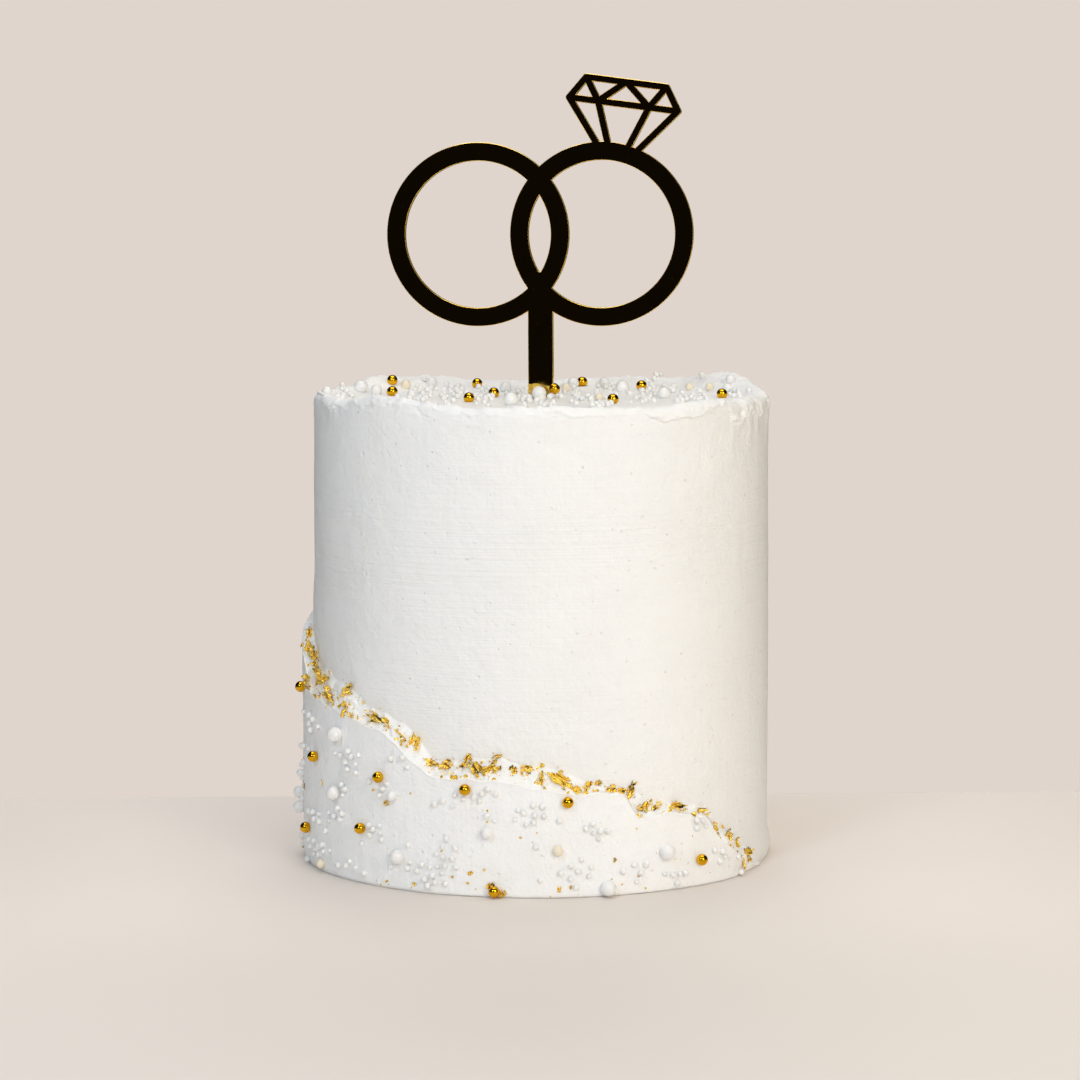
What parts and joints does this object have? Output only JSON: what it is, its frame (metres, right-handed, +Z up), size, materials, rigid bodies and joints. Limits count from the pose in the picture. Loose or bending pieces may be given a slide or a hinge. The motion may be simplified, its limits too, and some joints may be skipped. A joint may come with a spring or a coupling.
{
  "type": "engagement cake",
  "caption": "Tall round buttercream cake with a pearl-studded second coat, a torn edge of gold leaf, and a gold topper of linked rings with a diamond.",
  "frame": {"origin": "centre of the cake's flat underside", "axes": "+Z up, +X to the right, -Y towards the front of the cake"},
  "size_m": [0.1746, 0.1799, 0.2818],
  "materials": {
    "buttercream": "satin, scraped smooth",
    "second_coat": "satin, with a torn edge",
    "gold_mirror": "gold mirror face, polished edges",
    "sugar_pearl": "pearl gloss",
    "ivory_pearl": "pearl gloss",
    "gold_ball": "polished",
    "gold_leaf": "crumpled foil"
  },
  "bodies": {
    "root": {"cake": "buttercream", "second_coat": "second_coat", "ring_topper": "gold_mirror"}
  },
  "joints": []
}
